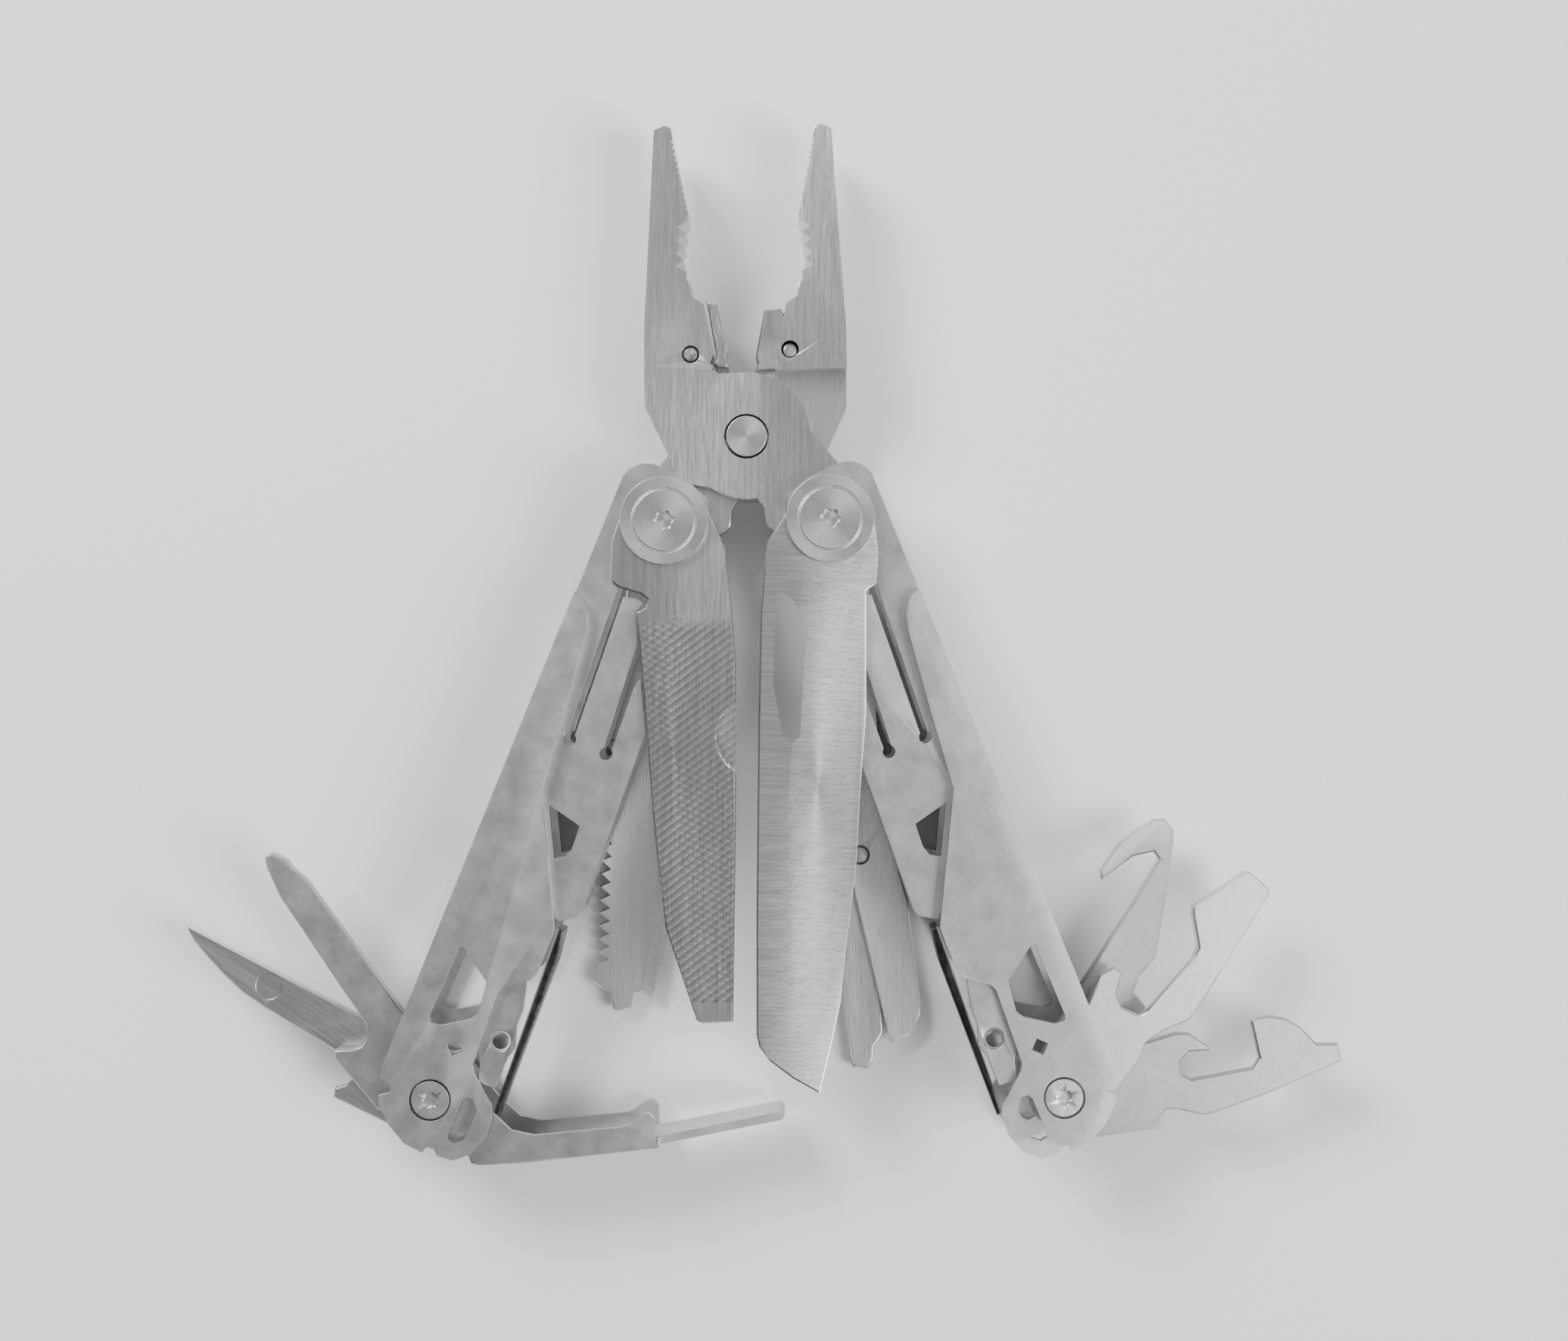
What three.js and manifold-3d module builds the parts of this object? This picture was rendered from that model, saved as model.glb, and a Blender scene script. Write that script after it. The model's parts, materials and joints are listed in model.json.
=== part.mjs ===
// Folding multi tool with plier head, lying flat on its back face, millimetres, +Z up.
// The mid-plane of the tool is modelled at z = 0 and the whole is lifted and centred at the end.
import * as THREE from "three";
import { mergeVertices } from "three/addons/utils/BufferGeometryUtils.js";
import Module from "manifold-3d";

const wasm = await Module();
wasm.setup();

// Driving dimensions
const HANDLE_SPREAD = 22; // degrees from straight down to each handle
const END_SCREW = 90.5; // from a handle's pivot to its end screw
const RIVET = new THREE.Vector2(-5.5, 34.3);
const TANG = new THREE.Vector2(12.2, -12.3); // from the plier rivet to a handle's pivot
const BACK_JAW_TURN = 1.5; // degrees, the back half against the mirror of the front half
const CLEAR = 0.3; // play between pieces
const JAW_HALF = 4.7; // half the plier head's thickness
const WALL_IN = 5.3; // inner face of the recessed handle wall
const WALL_OUT = 6.3;
const RAISED_IN = 7.5; // inner face of the raised handle wall
const RAISED_OUT = 8.7;
const BLADE_LOW = 6.5; // outer blades lie on the recessed wall
const BLADE_HIGH = 8.5;
const CAP_LOW = 8.8;
const CAP_HIGH = 9.7;
const PIVOT_R = 2.5; // shaft of the handle pivots
const END_R = 2.0; // shaft of the end screws
const CAP_R = 6.4;
const HEAD_R = 2.75;
const TORX_DEPTH = 0.5;
const ROUND = 24; // sides of a round piece

const radians = THREE.MathUtils.degToRad;

// Solids

function solid(geometry) {
  const bare = geometry.index ? geometry.toNonIndexed() : geometry.clone();
  bare.deleteAttribute("normal");
  bare.deleteAttribute("uv");
  const merged = mergeVertices(bare, 1e-4);
  return new wasm.Manifold(
    new wasm.Mesh({
      numProp: 3,
      vertProperties: merged.attributes.position.array,
      triVerts: new Uint32Array(merged.index.array),
    }),
  );
}

function shapeOf(points) {
  return new THREE.Shape(points.map(([x, y]) => new THREE.Vector2(x, y)));
}

// A flat piece of the given outline between two heights.
function plate(points, low, high) {
  const geometry = new THREE.ExtrudeGeometry(shapeOf(points), {
    depth: high - low,
    bevelEnabled: false,
  });
  return solid(geometry.translate(0, 0, low));
}

// A flat piece whose edges are broken by a small bevel.
function softPlate(points, low, high, bevel = 0.3) {
  const geometry = new THREE.ExtrudeGeometry(shapeOf(points), {
    depth: high - low - 2 * bevel,
    bevelEnabled: true,
    bevelThickness: bevel,
    bevelSize: bevel,
    bevelOffset: -bevel,
    bevelSegments: 1,
  });
  return solid(geometry.translate(0, 0, low + bevel));
}

function disc(x, y, radius, low, high, sides = ROUND) {
  const geometry = new THREE.CylinderGeometry(radius, radius, high - low, sides);
  geometry.rotateX(Math.PI / 2);
  return solid(geometry.translate(x, y, (low + high) / 2));
}

function circle(x, y, radius, sides = ROUND) {
  return Array.from({ length: sides }, (_, i) => {
    const angle = (2 * Math.PI * i) / sides;
    return [x + radius * Math.cos(angle), y + radius * Math.sin(angle)];
  });
}

// Points along a round stretch, from one angle to another in degrees.
function arc(x, y, radius, from, to, steps = 8) {
  return Array.from({ length: steps + 1 }, (_, i) => {
    const angle = radians(from + ((to - from) * i) / steps);
    return [x + radius * Math.cos(angle), y + radius * Math.sin(angle)];
  });
}

function join(...parts) {
  return parts.reduce((all, part) => all.add(part));
}

function cut(body, ...tools) {
  return tools.reduce((all, tool) => all.subtract(tool), body);
}

// A six-lobed driver socket.
function torx(x, y, radius, low, high) {
  const lobes = Array.from({ length: 24 }, (_, i) => {
    const reach = radius * (1 - 0.14 * (1 - Math.cos((i * Math.PI) / 2)));
    const angle = (2 * Math.PI * i) / 24;
    return [x + reach * Math.cos(angle), y + reach * Math.sin(angle)];
  });
  return plate(lobes, low, high);
}

const STEEL = { color: 0xb9bbbd, roughness: 0.42, metalness: 1 };
const POLISHED = { color: 0xcfd0d2, roughness: 0.25, metalness: 1 };
const DARK = { color: 0x2b2b2d, roughness: 0.5, metalness: 0.9 };

function piece(name, body, finish = STEEL) {
  const made = body.getMesh();
  const geometry = new THREE.BufferGeometry();
  geometry.setAttribute("position", new THREE.BufferAttribute(made.vertProperties, 3));
  geometry.setIndex(new THREE.BufferAttribute(made.triVerts, 1));
  const faceted = geometry.toNonIndexed();
  faceted.computeVertexNormals();
  const mesh = new THREE.Mesh(faceted, new THREE.MeshStandardMaterial(finish));
  mesh.name = name;
  return mesh;
}

function group(...children) {
  const made = new THREE.Group();
  made.add(...children);
  return made;
}

function placed(made, x, y, degrees = 0) {
  made.position.set(x, y, 0);
  made.rotation.z = radians(degrees);
  return made;
}

// Plier head. One half is drawn about the rivet, with its jaw to the left and its tang to the right.

const NOSE_LOW = 9.6; // the full thickness of the jaw starts above the joint disc

function jawTeeth() {
  const fine = Array.from({ length: 12 }, (_, i) => [
    [-10.8 + i * 0.19, 43.6 - i * 0.9],
    [-11.15 + i * 0.19, 43.1 - i * 0.9],
  ]).flat();
  const coarse = Array.from({ length: 4 }, (_, i) => [
    [-8.6 - i * 0.22, 31.6 - i * 1.9],
    [-10.2 - i * 0.1, 30.6 - i * 1.9],
  ]).flat();
  return [...fine, [-8.5, 32.9], ...coarse];
}

function jawOutline() {
  return [
    [-12.9, 45.2],
    [-12, 45.5],
    [-11.1, 45.1],
    [-10.9, 44],
    ...jawTeeth(),
    [-8.8, 24.1],
    [-8.9, 22.8],
    [-8.1, 22.2],
    [-8.1, 20.5],
    [-6.3, 19.3],
    [-4.9, 12],
    [-5.3, 10.7],
    [-4.4, NOSE_LOW],
  ].reverse();
}

// side is 1 for the front half and -1 for the back half.
function jawHalf(side) {
  const low = side > 0 ? 0.15 : -JAW_HALF;
  const nose = plate(
    [...jawOutline(), [-13.6, 44.8], [-15, 16.2], [-15, NOSE_LOW]],
    -JAW_HALF,
    JAW_HALF,
  );
  const head = plate(
    [
      [-15, NOSE_LOW + 0.5],
      [-14.9, 4.3],
      ...arc(0, 0, 11.8, 193, 215, 4),
      ...arc(0, 0, 9.2, 235, 280, 6),
      [2.6, -10.5],
      [2.8, -12.8],
      [3.4, -13.4],
      ...arc(TANG.x, TANG.y, 7, 200, 375, 12),
      ...arc(0, 0, 9.4, 5, 100, 10),
      [-4.3, NOSE_LOW + 0.2],
    ],
    low,
    low + JAW_HALF - 0.15,
  );
  return cut(
    join(nose, head),
    disc(0, 0, 3.3, -6, 6),
    disc(TANG.x, TANG.y, PIVOT_R + CLEAR, -6, 6),
  );
}

function mirrored(points) {
  return points.map(([x, y]) => [-x, y]).reverse();
}

const FRONT_CUTTER = [
  [-6, 19.9],
  [-5.7, 19],
  [-4.5, 12],
  [-4.9, 10.7],
  [-4.2, 10.1],
  [-2.6, 10.1],
  [-3, 11.9],
  [-2.8, 13.2],
  [-4.4, 19.5],
];
const BACK_CUTTER = [
  [-9, 10.1],
  [-1.5, 10.1],
  [-1.9, 11.2],
  [-1.6, 12.2],
  [-3.1, 19.2],
  [-5.4, 19.4],
  [-6.3, 17.9],
  [-8.2, 16.8],
  [-9.5, 14.9],
  [-9.6, 12.4],
];
const CUTTER_SCREW = [-6.7, 12.6];

function grown(points, by) {
  const middle = points.reduce(([a, b], [x, y]) => [a + x / points.length, b + y / points.length], [0, 0]);
  return points.map(([x, y]) => {
    const reach = Math.hypot(x - middle[0], y - middle[1]);
    const scale = 1 + by / reach;
    return [middle[0] + (x - middle[0]) * scale, middle[1] + (y - middle[1]) * scale];
  });
}

function frontJaw() {
  return piece("jaw_front", cut(jawHalf(1), disc(-8.2, 12, 1.3, 3, 6), plate(grown(FRONT_CUTTER, 0.9), -6, 6)));
}

function frontCutter() {
  return piece("cutter_front", softPlate(FRONT_CUTTER, -4, 4.4), POLISHED);
}

function cutterPin() {
  return piece("cutter_pin", disc(-8.2, 12, 1, 3.3, 4.6, 20), DARK);
}

function backJaw() {
  const pocket = plate(grown(BACK_CUTTER, 0.6), -6, 0.8);
  return piece("jaw_back", cut(jawHalf(-1), pocket, disc(...CUTTER_SCREW, 1.3, -6, 6)));
}

function backCutter() {
  const body = cut(softPlate(BACK_CUTTER, -4.6, 0.5), disc(...CUTTER_SCREW, 2.7, -6, -3.4));
  return piece("cutter_back", cut(body, disc(...CUTTER_SCREW, 1.3, -6, 6)), POLISHED);
}

function cutterScrew() {
  const body = join(disc(...CUTTER_SCREW, 2.4, -4.6, -3.7), disc(...CUTTER_SCREW, 1, -3.8, 3.5));
  return piece("cutter_screw", cut(body, torx(...CUTTER_SCREW, 1.2, -5, -4.1)));
}

function plierRivet() {
  return piece("plier_rivet", disc(0, 0, 3, -4.9, 4.9, 40), POLISHED);
}

// Handle: pivot at the origin, x to the end screw, y to the closed inner edge.

const RECESSED = [
  [44, -8.2],
  [-4, -8.2],
  ...arc(-3.2, -4.2, 4, 240, 180, 4),
  [-6.8, 0.7],
  [-5.5, 4.4],
  [-1.8, 6.2],
  [8, 5],
  [22, 4.9],
  [29.8, 8.9],
  [45.6, 9.5],
  [57.5, 10],
  [58.4, 9.7],
  [60, 7.2],
  [58.7, 6.2],
  [44, -2],
].reverse();
const RAISED = [
  [14.3, -8.2],
  [14.6, -7.2],
  [15.3, -6.2],
  [17, -5],
  [19.3, -4.4],
  [31.5, -3],
  [43, -1.9],
  [58.7, 6.3],
  [61, 7.5],
  [67.6, 7.5],
  [68.9, 7],
  [71.4, 3.7],
  [72.4, 3.3],
  [83.6, 3.8],
  [84.6, 4.4],
  [87.9, 8.5],
  [89.5, 9.3],
  [92.5, 9.5],
  [95.4, 8.5],
  [97.4, 6.3],
  [97.6, 3.9],
  [96.8, 3.1],
  [97, 2.1],
  [98, 1.8],
  [97.7, -1.2],
  [96, -4.3],
  [94, -6.5],
  [92.7, -7.2],
  [91.7, -5.8],
  [90.7, -6.1],
  [90.2, -8],
  [88, -8.3],
].reverse();
const TOOL_SPACE = [
  [45, -9],
  [100, -9],
  [100, 12],
  [60, 12],
  [60, 8],
  [59.4, 5.2],
  [45, -2.6],
];
const WINDOW = [
  [68.3, -4.4],
  [79.4, -4.6],
  [80.1, -4.2],
  [80, -2.7],
  [77.4, 1.1],
  [76.3, 1.8],
  [71.6, 1.2],
  [68.3, -3.6],
];
const END_SLOT = [
  [88.8, 4.3],
  [94, 4.2],
  [94.8, 4.5],
  [95, 5.5],
  [94, 6.7],
  [89.5, 6.9],
  [88.1, 5.8],
  [88.1, 4.8],
];
const TAB_CUT = [
  [10.2, -2.9],
  [12.8, -2.7],
  [34, -1.6],
  [34, -0.5],
  [12.4, -1.5],
  [11.8, 0.9],
  [12.2, 1.5],
  [13.7, 1],
  [15.1, 1.5],
  [18, 2.9],
  [34, 4.1],
  [34, 5.3],
  [24, 4.9],
  [21.5, 5.6],
  [10.2, 5.6],
];
const TRIANGLE = [
  [44.6, -0.2],
  [51.6, 3.4],
  [50.8, 4.8],
  [49.4, 5.3],
  [45.8, 5.1],
];
const SPINE = [
  [27, 6.4],
  [30, 7.8],
  [45.6, 8.4],
  [58, 8.8],
  [58.4, 9.7],
  [57.5, 10],
  [45.6, 9.5],
  [29.8, 8.9],
  [26.4, 7.2],
];

function bothFaces(points, low, high) {
  return join(plate(points, low, high), plate(points, -high, -low));
}

function handle(name) {
  const raised = bothFaces(RAISED, WALL_IN, RAISED_OUT);
  const walls = join(bothFaces(RECESSED, WALL_IN, WALL_OUT), raised);
  const hollow = plate(TOOL_SPACE, -RAISED_IN, RAISED_IN);
  const shell = cut(walls, hollow);
  const spine = plate(SPINE, -WALL_IN - 0.5, WALL_IN + 0.5);
  const holes = [
    disc(0, 0, PIVOT_R + CLEAR, -12, 12),
    disc(END_SCREW, 0, HEAD_R + CLEAR, -12, 12),
    disc(82.3, 0.5, 1.3, -12, 12, 4),
    disc(34.6, -1, 0.95, -12, 12, 16),
    disc(34.6, 4.7, 0.95, -12, 12, 16),
    ...[WINDOW, END_SLOT, TAB_CUT, TRIANGLE].map((points) => plate(points, -12, 12)),
  ];
  return piece(name, cut(join(shell, spine), ...holes));
}

const LOCK_LEVER = [
  [61.5, 6.6],
  [69.6, 6.7],
  [73.4, 7.7],
  [76, 7.7],
  [79, 8.7],
  [81, 8.1],
  [85.6, 8.1],
  [85.8, 5.4],
  [83, 4.6],
  [80, 2.6],
  [72, 2.2],
  [66, 1.5],
  [61.5, 1.5],
];

function handleFurniture(side) {
  const leaf = cut(plate(LOCK_LEVER, 6.7, 7.2), disc(79, 6.2, 1.5, 6, 8, 20));
  const spring = softPlate([[61.2, 7.6], [90.2, 9], [90.4, 9.9], [66, 9.3], [61.2, 8.6]], -3.4, 3.4, 0.2);
  const cap = cut(
    join(disc(0, 0, CAP_R, CAP_LOW, CAP_HIGH, 36), disc(0, 0, PIVOT_R, -CAP_LOW + 0.4, CAP_LOW, 24)),
    cut(disc(0, 0, 4.75, CAP_HIGH - 0.2, 11, 36), disc(0, 0, 4.45, 5, 11, 36)),
    torx(0, 0, 1.5, CAP_HIGH - TORX_DEPTH, 11),
  );
  const screw = cut(
    join(disc(END_SCREW, 0, HEAD_R, 7.6, 8.6), disc(END_SCREW, 0, END_R, -7.2, 7.7, 24)),
    torx(END_SCREW, 0, 1.25, 8.1, 10),
  );
  const washer = cut(disc(0, 0, 4.2, CLEAR, 4.4), disc(0, 0, PIVOT_R + CLEAR, -1, 6));
  const washerMesh = piece("tang_washer_" + side, washer, POLISHED);
  washerMesh.position.z = side === "right" ? -4.7 : 0;
  return [
    piece("lock_lever_" + side, leaf),
    piece("lock_pin_" + side, disc(79, 6.2, 1.2, 6.6, 7.3, 20), DARK),
    piece("back_spring_" + side, spring, DARK),
    piece("pivot_screw_" + side, cap),
    piece("pivot_nut_" + side, disc(0, 0, CAP_R, -CAP_HIGH, -CAP_LOW, 36)),
    piece("end_screw_" + side, screw),
    piece("end_nut_" + side, disc(END_SCREW, 0, HEAD_R, -CAP_HIGH, -7.5)),
    washerMesh,
  ];
}

// Outer blades: pivot at the origin, x along the blade, y to the closed inner edge.

function outerTool(points, low, high, bevel = 0.25) {
  const hub = disc(0, 0, 6.3, low, high);
  return cut(join(softPlate(points, low, high, bevel), hub), disc(0, 0, PIVOT_R + CLEAR, -12, 12));
}

function file() {
  const body = outerTool(
    [
      [-3, -5.6],
      [3, -7.7],
      [8.8, -7.7],
      [9.7, -6.6],
      [10.6, -3.4],
      [11.4, -2.4],
      [12.4, -2.7],
      [13.3, -4.1],
      [16.8, -3.7],
      [45.5, -1.4],
      [59.1, 0.2],
      [72.4, 4.7],
      [72.9, 5.6],
      [72.6, 10],
      [43.3, 10.4],
      [20.5, 10.4],
      [11.7, 9.7],
      [4.1, 8.9],
      [-3, 5.6],
    ],
    BLADE_LOW,
    BLADE_HIGH,
  );
  const nick = plate(arc(31.3, 13.6, 6.2, 200, 340, 10), 7.9, 10);
  return piece("file", cut(body, nick), POLISHED);
}

function saw() {
  const teeth = Array.from({ length: 23 }, (_, i) => [
    [66 - i * 1.95, -10.9 + i * 0.05],
    [65.4 - i * 1.95, -9.4 + i * 0.05],
  ]).flat();
  const body = outerTool(
    [
      [3, 5.6],
      [30, 2.5],
      [60.5, -0.6],
      [70, -2],
      [71.3, -2.7],
      [70.3, -4],
      [70.6, -5],
      [72.7, -5.5],
      [73.3, -8],
      [72.9, -8.6],
      [70.6, -8.9],
      [68.9, -11.5],
      ...teeth,
      [18, -7.5],
      [3, -5.6],
    ].reverse(),
    -BLADE_HIGH,
    -BLADE_LOW,
  );
  return piece("saw", body, POLISHED);
}

function knife() {
  const body = outerTool(
    [
      [-4.3, -4.5],
      [-2.1, -6.2],
      [5.1, -7],
      [9.4, -6.7],
      [10.4, -5.2],
      [28.4, -5.2],
      [38.9, -4.4],
      [50.2, -3.8],
      [62.4, -2.3],
      [70.3, -1.5],
      [76.7, -0.1],
      [83.4, 1.5],
      [81.2, 5.4],
      [78.6, 8.8],
      [76.6, 10.3],
      [74.8, 10.7],
      [57.8, 10.7],
      [28.4, 10.4],
      [13.9, 10.1],
      [5.9, 9.5],
      [3.3, 9.1],
      [-3, 5],
    ],
    BLADE_LOW,
    BLADE_HIGH,
  );
  const hole = plate(
    [[12, 5.1], [16, 3.4], [21, 3.8], [31.7, 4.4], [32.5, 5.5], [31.3, 6.9], [24.2, 8.3], [15.3, 8], [11.1, 7.7], [10.5, 6.9]],
    5,
    10,
  );
  return piece("knife_blade", cut(body, hole), POLISHED);
}

function scissorsBody() {
  const body = outerTool(
    [
      [3, -5.6],
      [45, -8.5],
      [56.6, -11.9],
      [72.1, -14],
      [74.1, -14],
      [76, -13.2],
      [77.4, -11.9],
      [78.4, -9.4],
      [56, -4],
      [45, -2.4],
      [3, 5.6],
    ],
    -7.4,
    -BLADE_LOW,
    0.15,
  );
  return piece("scissors_body", cut(body, disc(49.9, -4.8, 1.5, -12, 0)), POLISHED);
}

function scissorsLever() {
  const outline = [
    [13, 1],
    [13, -3],
    [44, -6.2],
    [56, -7.5],
    [77, -8.3],
    [79.2, -6.9],
    [81.1, -6.9],
    [82.4, -6],
    [82.2, -3.7],
    [81.1, -3.1],
    [72.1, -2],
    [56, -2.2],
    [44, -2.2],
  ];
  const body = softPlate(outline, -BLADE_HIGH, -7.6, 0.15);
  return piece("scissors_lever", cut(body, disc(49.9, -4.8, 1.5, -12, 0)), POLISHED);
}

function scissorsRivet() {
  return piece("scissors_rivet", disc(49.9, -4.8, 1.2, -8.6, -6.4, 24));
}

// Inner tools: end screw at the origin, x along the tool.

function innerTool(points, low, high, bevel = 0.25) {
  const hub = disc(0, 0, 5, low, high);
  return cut(join(softPlate(points, low, high, bevel), hub), disc(0, 0, END_R + CLEAR, -12, 12));
}

const RIGHT_BACK = -2.5;

function smallBlade() {
  const points = [
    [2, -4.5],
    [14.6, -2.8],
    [44.5, 1],
    [42.2, 2.3],
    [39.1, 3.1],
    [35.6, 3.9],
    [32, 4.4],
    [27.8, 4.4],
    [15.9, 3.7],
    [13.4, 3.6],
    [11.6, 5.6],
    [11.8, 7],
    [12.8, 8.2],
    [12.1, 9.5],
    [2.8, 8.1],
    [-3, 4],
  ];
  const nick = plate(circle(29.3, 1.4, 2, 20), 1.2, 3);
  return piece("small_blade", cut(innerTool(points, -0.4, 1.6), nick), POLISHED);
}

function phillips() {
  const points = [
    [2, -4.5],
    [12.6, -2.6],
    [36.6, -1],
    [39.4, -0.2],
    [40.9, -0.1],
    [42.8, 1.1],
    [42.8, 2.1],
    [41.2, 2.8],
    [36.8, 3.4],
    [14.4, 2.8],
    [12.6, 3.5],
    [11.8, 5.1],
    [12.1, 6.5],
    [13.4, 8.7],
    [12.4, 9.4],
    [2.8, 8.1],
    [-3, 4],
  ];
  return piece("phillips_driver", innerTool(points, 1.9, 4.9));
}

function gutHook() {
  const points = [
    [2, -4.2],
    [15, -2],
    [29.6, 1.3],
    [37, 2.7],
    [37.8, 1.6],
    [36.1, -1.1],
    [34.6, -2.1],
    [31.2, -4.3],
    [32.4, -4.9],
    [36.9, -3.8],
    [39.4, -2.3],
    [42.3, 0],
    [42.9, 1.4],
    [41.7, 3.3],
    [40, 3.9],
    [24, 7.1],
    [22.7, 7.1],
    [19.6, 5.8],
    [17, 5.9],
    [16.7, 6.8],
    [15.7, 8.5],
    [2.8, 8.1],
    [-3, 4],
  ];
  return piece("gut_hook", innerTool(points, RIGHT_BACK, -0.3), POLISHED);
}

function flatDriver() {
  const points = [
    [2, -4.5],
    [11.9, -5.8],
    [16.6, -7.2],
    [18.8, -6.5],
    [19.1, -5.3],
    [16.2, -3.8],
    [15.2, -1.8],
    [16, 0.6],
    [17.4, 1.4],
    [27.2, 1.2],
    [29.4, 0.5],
    [32.4, -3.4],
    [33.2, -4],
    [42.3, -1.8],
    [42.6, -1.1],
    [42.6, 2.4],
    [42.3, 2.9],
    [22.4, 6.5],
    [20.4, 6.6],
    [16.9, 4.9],
    [13.8, 4.2],
    [11.8, 5.1],
    [2.8, 6],
    [-3, 4],
  ];
  return piece("flat_driver", innerTool(points, 2.2, 4.9));
}

function canOpener() {
  const points = [
    [2, -4.5],
    [13.4, -5.1],
    [18.3, -5.9],
    [20.2, -5.6],
    [22.9, -3.2],
    [22.8, -2.7],
    [19.8, -2.9],
    [18.2, -1.6],
    [18.3, 0.2],
    [19.6, 1.2],
    [29, 0.8],
    [30, -0.5],
    [29.5, -6.3],
    [31.9, -6.6],
    [34.5, -5.9],
    [36.6, -4.3],
    [38.7, -1.5],
    [41.8, -1.1],
    [42, 1.5],
    [30.3, 4.8],
    [22, 6.6],
    [20.4, 6.6],
    [17.1, 5.3],
    [15.3, 5.1],
    [14.1, 6.3],
    [14.3, 7.7],
    [2.4, 7.7],
    [-3, 4],
  ];
  return piece("can_opener", innerTool(points, 0, 1.9), POLISHED);
}

// Folding lever with its channel open upwards and its flat tongue to the right.
function foldingLever() {
  const side = [
    [0, -5],
    [5.2, -8.5],
    [5.7, -9.6],
    [6.7, -9.9],
    [13.2, -9.6],
    [32.6, -7.4],
    [32.4, -3.3],
    ...arc(31.2, -3.5, 1.2, 10, 150, 4),
    [28.8, -3.9],
    [27.8, -4.4],
    [14.8, -5.6],
    [11.5, -4.9],
    [8, -1.6],
    [3, 5],
    [-3, 4],
  ];
  const floor = [
    [8, -9.85],
    [13.2, -9.6],
    [33, -7.4],
    [33, -6.2],
    [13.2, -8.4],
    [8, -8.6],
  ];
  const tongue = [
    [32, -7.4],
    [51, -3.6],
    [51.4, -2.9],
    [50.8, -2.4],
    [32, -6.2],
  ];
  const walls = join(bothFaces(side, 5.3, WALL_OUT), bothFaces(circle(0, 0, 5), 5.3, WALL_OUT));
  const body = join(walls, plate(floor, -WALL_OUT, WALL_OUT), plate(tongue, -4.6, 4.6));
  return piece("folding_lever", cut(body, disc(0, 0, END_R + CLEAR, -12, 12)));
}

function spacer(name, low, high) {
  return piece(name, cut(disc(0, 0, 4, low, high), disc(0, 0, END_R + CLEAR, -12, 12)), POLISHED);
}

// Assembly

const REST_BLADE = 22;
const atEnd = (made, degrees = 0) => placed(made, END_SCREW, 0, degrees);

const leftHandle = group(
  handle("handle_left"),
  ...handleFurniture("left"),
  placed(file(), 0, 0, REST_BLADE),
  placed(saw(), 0, 0, REST_BLADE),
  atEnd(smallBlade(), -102.7),
  atEnd(phillips(), -125.5),
  atEnd(foldingLever(), 112),
  atEnd(spacer("end_spacer_left", -5, -0.7)),
);
const rightHandle = group(
  handle("handle_right"),
  ...handleFurniture("right"),
  placed(knife(), 0, 0, REST_BLADE),
  placed(group(scissorsBody(), scissorsLever(), scissorsRivet()), 0, 0, REST_BLADE),
  atEnd(gutHook(), -138),
  atEnd(flatDriver(), -115.7),
  atEnd(canOpener(), -75.8),
  atEnd(spacer("end_spacer_right", -7, -2.8)),
);
const DOWN_LEFT = 270 - HANDLE_SPREAD;

const frontHalf = group(frontJaw(), frontCutter(), cutterPin(), plierRivet());
// The back half is the front half's mirror image, seen from the front.
const backMirror = group(backJaw(), backCutter(), cutterScrew());
backMirror.scale.set(-1, 1, 1);
const backHalf = placed(group(backMirror), 0, 0, BACK_JAW_TURN);
const head = placed(group(frontHalf, backHalf), RIVET.x, RIVET.y);

const leftPivot = new THREE.Vector2(-TANG.x, TANG.y)
  .rotateAround(new THREE.Vector2(), radians(BACK_JAW_TURN))
  .add(RIVET);
const rightPivot = TANG.clone().add(RIVET);
placed(leftHandle, leftPivot.x, leftPivot.y, DOWN_LEFT);
placed(rightHandle, 0, 0, DOWN_LEFT);
const rightMirror = group(rightHandle);
rightMirror.position.set(rightPivot.x, rightPivot.y, 0);
rightMirror.scale.set(-1, 1, 1);

const tool = group(head, leftHandle, rightMirror);
tool.updateMatrixWorld(true);
const box = new THREE.Box3().setFromObject(tool, true);
tool.position.set(-(box.min.x + box.max.x) / 2, -(box.min.y + box.max.y) / 2, -box.min.z);

export default group(tool);
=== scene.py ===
import json
import math
import bmesh
import bpy
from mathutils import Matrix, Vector


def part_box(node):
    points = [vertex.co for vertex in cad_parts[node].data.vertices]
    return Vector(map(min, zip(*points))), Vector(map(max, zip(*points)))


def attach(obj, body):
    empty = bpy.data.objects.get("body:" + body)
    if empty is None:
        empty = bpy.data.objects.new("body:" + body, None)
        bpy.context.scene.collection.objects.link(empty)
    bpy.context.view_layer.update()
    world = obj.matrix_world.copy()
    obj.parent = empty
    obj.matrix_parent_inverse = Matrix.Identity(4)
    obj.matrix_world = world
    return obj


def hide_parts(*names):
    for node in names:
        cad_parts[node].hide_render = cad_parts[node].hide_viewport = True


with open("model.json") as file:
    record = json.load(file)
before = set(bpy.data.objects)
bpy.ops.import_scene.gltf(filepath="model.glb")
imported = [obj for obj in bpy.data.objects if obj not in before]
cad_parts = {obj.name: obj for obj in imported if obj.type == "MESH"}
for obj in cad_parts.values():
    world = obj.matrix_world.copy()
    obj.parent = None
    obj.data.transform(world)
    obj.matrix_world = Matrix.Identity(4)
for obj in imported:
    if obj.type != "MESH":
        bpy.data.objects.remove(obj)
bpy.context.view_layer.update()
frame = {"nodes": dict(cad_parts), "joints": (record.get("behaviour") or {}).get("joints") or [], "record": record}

MM = 0.001
EDGE = 0.14 * MM  # width of the broken edge on every steel piece
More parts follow.
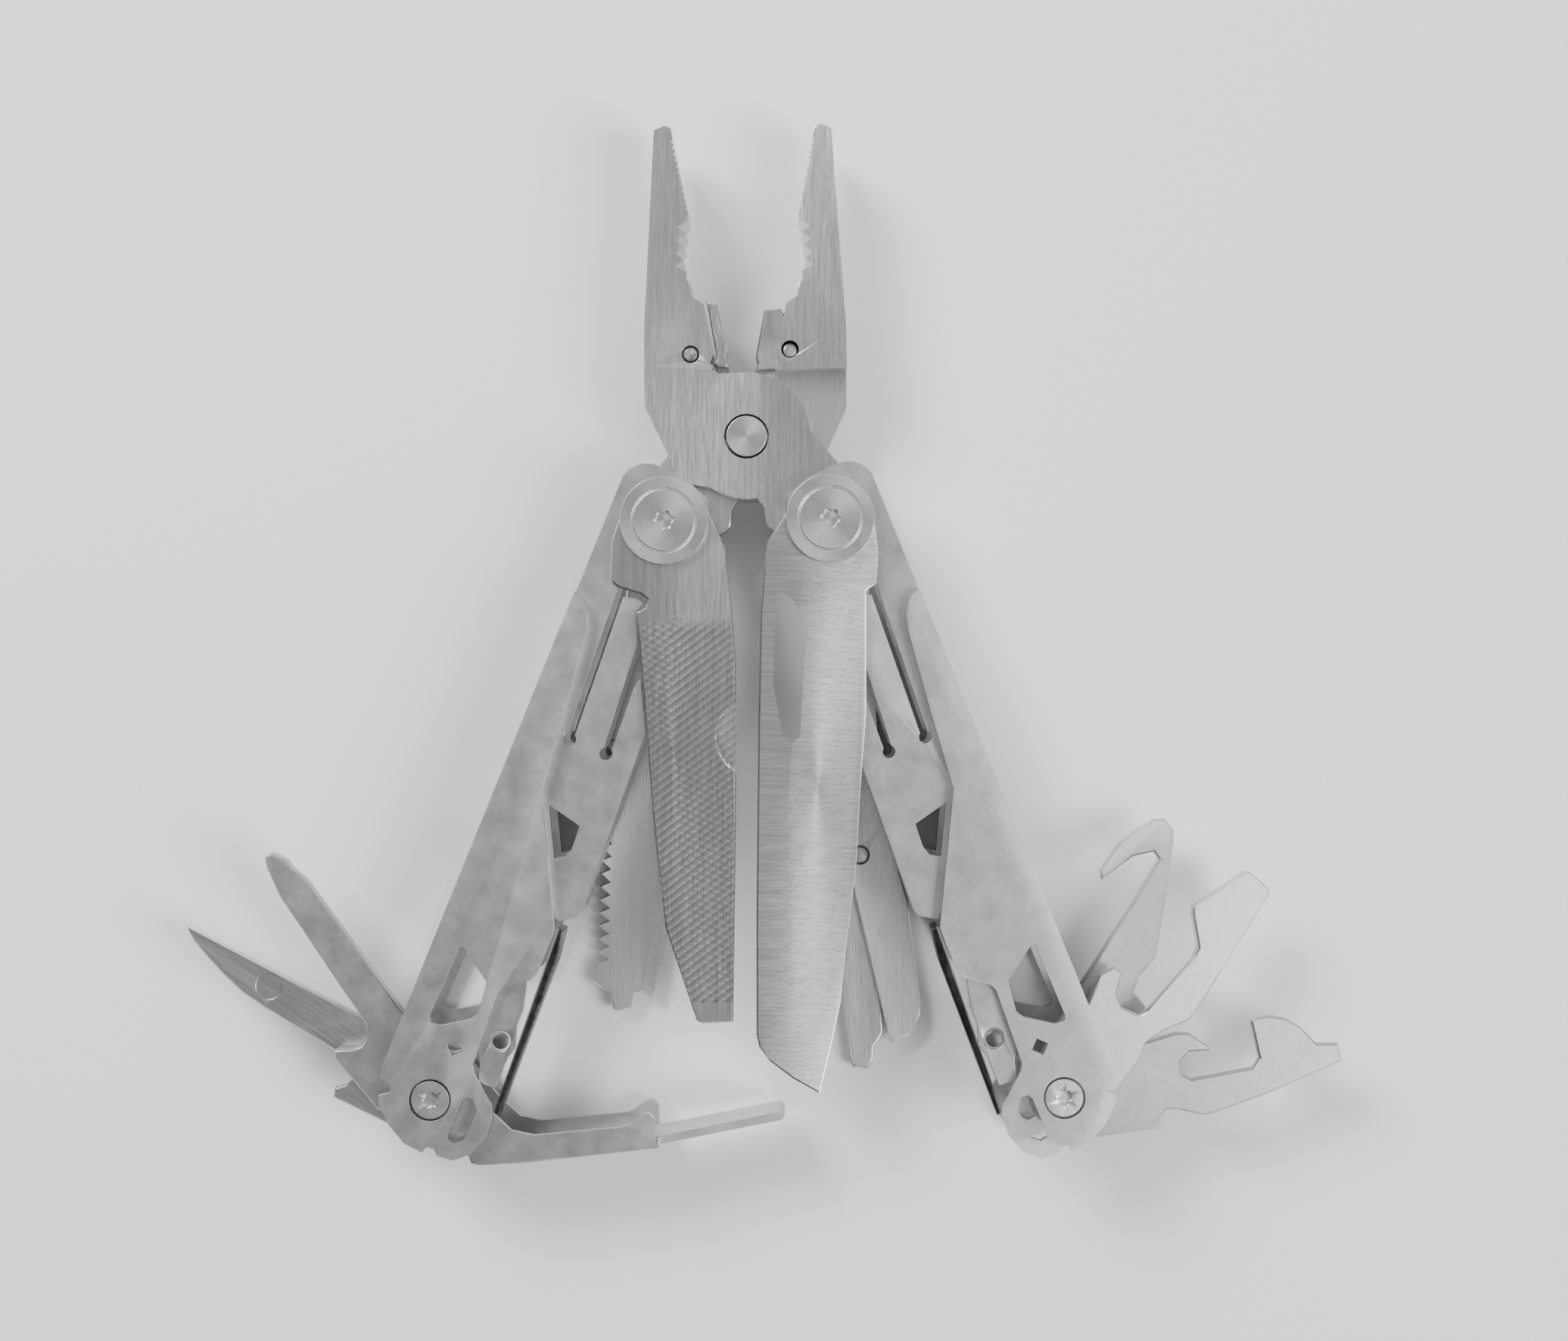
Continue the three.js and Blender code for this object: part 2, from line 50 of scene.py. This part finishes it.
EDGE_ANGLE = math.radians(28)
GRIND_TOP = (-3.8, -12, 0)  # millimetres from the knife pivot
GRIND_BOTTOM = (-8.9, -75, 0)
GRIND_WIDTH = 9.5 * MM
CAMERA_HEIGHT = 0.357
CAMERA_XY = (0.0030, -0.0040)
LENS = 53.7
FINE_BRUSH = 9000  # noise scales, in cells to the metre
BROAD_BRUSH = 2600
BLAST_GRAIN = 5200
TURNED_RINGS = 1800
FILE_CUTS = ((37, 1.0 * MM), (-26, 0.9 * MM))  # direction in degrees and pitch
FILE_TANG = 20 * MM  # plain length at the top of the file
FILE_PLAIN_TIP = 3 * MM
# Painted highlight: light steel colour mixed into the convex edges of every piece
EDGE_HIGHLIGHT_STEEL = (0.86, 0.86, 0.87, 1)
FLOOR_HALF = 3.0
FLOOR_LEVEL = -0.0002

record = frame["record"]
joints = {joint["name"]: joint for joint in frame["joints"]}
slot_of = {part["node"]: part["material_slot"] for part in record["subparts"]}
body_of_node = {node: body for body, nodes in record["behaviour"]["bodies"].items() for node in nodes}


# Materials

def new_material(name, color, roughness, metallic=1.0, anisotropic=0.0):
    material = bpy.data.materials.new(name)
    material.use_nodes = True
    shader = material.node_tree.nodes["Principled BSDF"]
    shader.inputs["Base Color"].default_value = (*color, 1)
    shader.inputs["Roughness"].default_value = roughness
    shader.inputs["Metallic"].default_value = metallic
    shader.inputs["Anisotropic"].default_value = anisotropic
    return material, material.node_tree, shader


def coordinates(tree, turn=0.0, stretch=(1, 1, 1), centre=(0, 0, 0)):
    """The place on the object, moved to the centre, then turned, then stretched."""
    source = tree.nodes.new("ShaderNodeTexCoord")
    moved = tree.nodes.new("ShaderNodeMapping")
    moved.inputs["Location"].default_value = [-c for c in centre]
    tree.links.new(source.outputs["Object"], moved.inputs["Vector"])
    turned = tree.nodes.new("ShaderNodeMapping")
    turned.inputs["Rotation"].default_value = (0, 0, turn)
    tree.links.new(moved.outputs["Vector"], turned.inputs["Vector"])
    stretched = tree.nodes.new("ShaderNodeMapping")
    stretched.inputs["Scale"].default_value = stretch
    tree.links.new(turned.outputs["Vector"], stretched.inputs["Vector"])
    return stretched.outputs["Vector"]


def noise(tree, vector, scale, detail=4.0):
    node = tree.nodes.new("ShaderNodeTexNoise")
    node.inputs["Scale"].default_value = scale
    node.inputs["Detail"].default_value = detail
    tree.links.new(vector, node.inputs["Vector"])
    return node.outputs["Fac"]


def spread(tree, value, low, high):
    """Maps the middle of a noise to the range from low to high."""
    node = tree.nodes.new("ShaderNodeMapRange")
    node.inputs["From Min"].default_value = 0.3
    node.inputs["From Max"].default_value = 0.7
    node.inputs["To Min"].default_value = low
    node.inputs["To Max"].default_value = high
    tree.links.new(value, node.inputs["Value"])
    return node.outputs["Result"]


def tint(tree, shader, value, dark, light):
    """Colours a surface from dark to light by a value, and paints a highlight along its convex edges."""
    ramp = tree.nodes.new("ShaderNodeValToRGB")
    ramp.color_ramp.elements[0].position = 0.35
    ramp.color_ramp.elements[1].position = 0.65
    ramp.color_ramp.elements[0].color = (*dark, 1)
    ramp.color_ramp.elements[1].color = (*light, 1)
    tree.links.new(value, ramp.inputs["Fac"])
    # Painted highlight: convex edges, found by pointiness, are mixed towards a light steel colour
    edge_highlight = tree.nodes.new("ShaderNodeMixRGB")
    edge = tree.nodes.new("ShaderNodeMapRange")
    edge.inputs["From Min"].default_value = 0.52
    edge.inputs["From Max"].default_value = 0.6
    edge.inputs["To Max"].default_value = 0.5
    geometry = tree.nodes.new("ShaderNodeNewGeometry")
    tree.links.new(geometry.outputs["Pointiness"], edge.inputs["Value"])
    tree.links.new(edge.outputs["Result"], edge_highlight.inputs["Fac"])
    tree.links.new(ramp.outputs["Color"], edge_highlight.inputs["Color1"])
    edge_highlight.inputs["Color2"].default_value = EDGE_HIGHLIGHT_STEEL
    tree.links.new(edge_highlight.outputs["Color"], shader.inputs["Base Color"])


def bump(tree, shader, height, strength, distance):
    node = tree.nodes.new("ShaderNodeBump")
    node.inputs["Strength"].default_value = strength
    node.inputs["Distance"].default_value = distance
    tree.links.new(height, node.inputs["Height"])
    tree.links.new(node.outputs["Normal"], shader.inputs["Normal"])


def bead_blasted(name, shade):
    """Satin steel with a fine blasted grain and slow changes of tone."""
    material, tree, shader = new_material(name, (shade, shade, shade), 0.4)
    flat = coordinates(tree)
    grain = noise(tree, flat, BLAST_GRAIN, 3)
    tint(tree, shader, noise(tree, flat, 900, 5), [shade * 0.93] * 3, [shade * 1.05] * 3)
    tree.links.new(spread(tree, noise(tree, flat, 260), 0.34, 0.46), shader.inputs["Roughness"])
    bump(tree, shader, grain, 0.35, 0.00003)
    return material


def brushed(name, shade, degrees):
    """Ground steel with brush lines along one direction in the plane of the tool."""
    material, tree, shader = new_material(name, (shade, shade, shade), 0.3, anisotropic=0.4)
    lines = coordinates(tree, -math.radians(degrees), (0.03, 1, 1))
    fine_lines = noise(tree, lines, FINE_BRUSH, 3)
    tint(tree, shader, noise(tree, lines, BROAD_BRUSH, 4), [shade * 0.86] * 3, [shade * 1.06] * 3)
    tree.links.new(spread(tree, fine_lines, 0.22, 0.38), shader.inputs["Roughness"])
    bump(tree, shader, fine_lines, 0.4, 0.00002)
    return material


def turned(name, shade, centre):
    """Steel turned on a lathe, with fine rings about its centre."""
    material, tree, shader = new_material(name, (shade, shade, shade), 0.3, anisotropic=0.6)
    around = coordinates(tree, centre=centre)
    rings = tree.nodes.new("ShaderNodeTexWave")
    rings.wave_type = "RINGS"
    rings.rings_direction = "Z"
    rings.inputs["Scale"].default_value = TURNED_RINGS
    rings.inputs["Distortion"].default_value = 1.5
    tree.links.new(around, rings.inputs["Vector"])
    tint(tree, shader, noise(tree, around, 700), [shade * 0.92] * 3, [shade * 1.05] * 3)
    tree.links.new(spread(tree, rings.outputs["Fac"], 0.24, 0.34), shader.inputs["Roughness"])
    bump(tree, shader, rings.outputs["Fac"], 0.3, 0.00002)
    return material


def file_cut(name, shade):
    """Brushed steel with the crossing cuts of a file over its lower part."""
    material = brushed(name, shade, 90)
    tree = material.node_tree
    shader = tree.nodes["Principled BSDF"]
    cuts = []
    for degrees, pitch in FILE_CUTS:
        wave = tree.nodes.new("ShaderNodeTexWave")
        wave.bands_direction = "Y"
        wave.wave_profile = "SAW"
        wave.inputs["Scale"].default_value = 1 / pitch * math.pi / 10
        tree.links.new(coordinates(tree, -math.radians(degrees)), wave.inputs["Vector"])
        cuts.append(wave.outputs["Fac"])
    both = tree.nodes.new("ShaderNodeMath")
    both.operation = "MULTIPLY"
    tree.links.new(cuts[0], both.inputs[0])
    tree.links.new(cuts[1], both.inputs[1])
    low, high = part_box("file")
    place = tree.nodes.new("ShaderNodeSeparateXYZ")
    tree.links.new(coordinates(tree), place.inputs["Vector"])
    zone = tree.nodes.new("ShaderNodeMapRange")
    zone.inputs["From Min"].default_value = high[1] - FILE_TANG
    zone.inputs["From Max"].default_value = high[1] - FILE_TANG - 2 * MM
    tree.links.new(place.outputs["Y"], zone.inputs["Value"])
    tip = tree.nodes.new("ShaderNodeMapRange")
    tip.inputs["From Min"].default_value = low[1] + FILE_PLAIN_TIP
    tip.inputs["From Max"].default_value = low[1] + FILE_PLAIN_TIP + 0.5 * MM
    tree.links.new(place.outputs["Y"], tip.inputs["Value"])
    height = both.outputs[0]
    for limit in (zone, tip):
        product = tree.nodes.new("ShaderNodeMath")
        product.operation = "MULTIPLY"
        tree.links.new(height, product.inputs[0])
        tree.links.new(limit.outputs["Result"], product.inputs[1])
        height = product.outputs[0]
    bump(tree, shader, height, 0.9, 0.00022)
    return material


def blackened(name):
    """Black oxide steel, with a painted highlight along its edges."""
    material, tree, shader = new_material(name, (0.03, 0.03, 0.032), 0.4)
    flat = coordinates(tree)
    tint(tree, shader, noise(tree, flat, 800), (0.025, 0.025, 0.027), (0.06, 0.06, 0.063))
    tree.links.new(spread(tree, noise(tree, flat, 1500), 0.32, 0.5), shader.inputs["Roughness"])
    bump(tree, shader, noise(tree, flat, 5000), 0.3, 0.00002)
    return material


TURNED = ("pivot_", "plier_rivet", "end_nut", "end_screw", "cutter_screw", "scissors_rivet")
BRUSH = {  # direction of the brush lines in degrees
    "jaw_front": 90,
    "jaw_back": 90,
    "knife_blade": 0,
    "saw": 90,
    "scissors_body": 90,
    "scissors_lever": 90,
    "small_blade": 145,
    "cutter_front": 80,
    "cutter_back": 100,
}


def material_for(node):
    if node == "file":
        return file_cut("file_steel", 0.5)
    if slot_of[node] == "black_oxide":
        return blackened(node + "_black")
    low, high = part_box(node)
    if node.startswith(TURNED):
        return turned(node + "_turned", 0.6, [(a + b) / 2 for a, b in zip(low, high)])
    if node in BRUSH:
        return brushed(node + "_brushed", 0.56, BRUSH[node])
    return bead_blasted(node + "_blasted", 0.46)


# Shapes

def thin_towards_edge(mesh, start, end, width, keep=0.12):
    """Grinds a blade's flat down towards its cutting edge, beyond the line from start to end.

    The ground side is to the left of that line, and width is how far the grind reaches."""
    start = Vector(start)
    along = (Vector(end) - start).normalized()
    left = Vector((-along.y, along.x, 0))
    bm = bmesh.new()
    bm.from_mesh(mesh)
    everything = bm.verts[:] + bm.edges[:] + bm.faces[:]
    bmesh.ops.bisect_plane(bm, geom=everything, plane_co=start, plane_no=left, dist=1e-7)
    heights = [v.co.z for v in bm.verts]
    middle = (min(heights) + max(heights)) / 2
    for vertex in bm.verts:
        reach = (vertex.co - start).dot(left)
        if reach > 0:
            share = min(reach / width, 1)
            vertex.co.z = middle + (vertex.co.z - middle) * (1 - (1 - keep) * share)
    bm.to_mesh(mesh)
    bm.free()


def refined(node):
    """A copy of a CAD piece with its coincident vertices merged and its edges broken."""
    source = frame["nodes"][node]
    mesh = source.data.copy()
    mesh.materials.clear()
    bm = bmesh.new()
    bm.from_mesh(mesh)
    bmesh.ops.remove_doubles(bm, verts=bm.verts, dist=1e-6)
    bm.to_mesh(mesh)
    bm.free()
    made = bpy.data.objects.new(node + "_finished", mesh)
    bpy.context.scene.collection.objects.link(made)
    if node == "knife_blade":
        pivot = Vector(joints["knife_pivot"]["pos_m"])
        top = pivot + Vector(GRIND_TOP) * MM
        bottom = pivot + Vector(GRIND_BOTTOM) * MM
        thin_towards_edge(mesh, top, bottom, GRIND_WIDTH)
    bevel = made.modifiers.new("broken_edge", "BEVEL")
    bevel.width = EDGE
    bevel.segments = 2
    bevel.limit_method = "ANGLE"
    bevel.angle_limit = EDGE_ANGLE
    bevel.use_clamp_overlap = True
    weighted = made.modifiers.new("flat_shading", "WEIGHTED_NORMAL")
    weighted.keep_sharp = True
    for face in mesh.polygons:
        face.use_smooth = True
    mesh.materials.append(material_for(node))
    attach(made, body_of_node[node])
    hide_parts(node)
    return made


for node_name in sorted(frame["nodes"]):
    refined(node_name)


# Setting

def area_light(name, place, size, power):
    data = bpy.data.lights.new(name, "AREA")
    data.shape = "RECTANGLE"
    data.size, data.size_y = size
    data.energy = power
    lamp = bpy.data.objects.new(name, data)
    lamp.location = place
    lamp.rotation_euler = (-Vector(place)).to_track_quat("-Z", "Y").to_euler()
    bpy.context.scene.collection.objects.link(lamp)


def setting():
    mesh = bpy.data.meshes.new("floor")
    half = FLOOR_HALF
    corners = [(-half, -half), (half, -half), (half, half), (-half, half)]
    mesh.from_pydata([(x, y, FLOOR_LEVEL) for x, y in corners], [], [(0, 1, 2, 3)])
    floor = bpy.data.objects.new("floor", mesh)
    bpy.context.scene.collection.objects.link(floor)
    material = new_material("pale_floor", (0.93, 0.93, 0.93), 0.9, metallic=0.0)[0]
    mesh.materials.append(material)
    world = bpy.data.worlds.new("studio")
    world.use_nodes = True
    sky = world.node_tree
    source = sky.nodes.new("ShaderNodeTexCoord")
    turned_sky = sky.nodes.new("ShaderNodeMapping")
    turned_sky.inputs["Location"].default_value = (0.5, 0, 0)
    turned_sky.inputs["Rotation"].default_value = (0, 0, math.radians(-35))
    turned_sky.inputs["Scale"].default_value = (0.5, 0.5, 0.5)
    gradient = sky.nodes.new("ShaderNodeTexGradient")
    tones = sky.nodes.new("ShaderNodeValToRGB")
    tones.color_ramp.elements[0].position = 0.1
    tones.color_ramp.elements[0].color = (0.10, 0.10, 0.10, 1)
    tones.color_ramp.elements[1].position = 0.75
    tones.color_ramp.elements[1].color = (1, 1, 1, 1)
    sky.links.new(source.outputs["Generated"], turned_sky.inputs["Vector"])
    sky.links.new(turned_sky.outputs["Vector"], gradient.inputs["Vector"])
    sky.links.new(gradient.outputs["Color"], tones.inputs["Fac"])
    sky.links.new(tones.outputs["Color"], sky.nodes["Background"].inputs["Color"])
    sky.nodes["Background"].inputs["Strength"].default_value = 0.75
    bpy.context.scene.world = world
    area_light("key", (-0.45, 0.5, 0.6), (0.35, 0.35), 9)
    area_light("fill", (0.55, -0.2, 0.7), (0.3, 0.5), 6)


def camera():
    data = bpy.data.cameras.new("camera")
    data.sensor_width = 36
    data.lens = LENS
    data.clip_start = 0.01
    made = bpy.data.objects.new("camera", data)
    made.location = (*CAMERA_XY, CAMERA_HEIGHT)
    bpy.context.scene.collection.objects.link(made)
    bpy.context.scene.camera = made


camera()
setting()
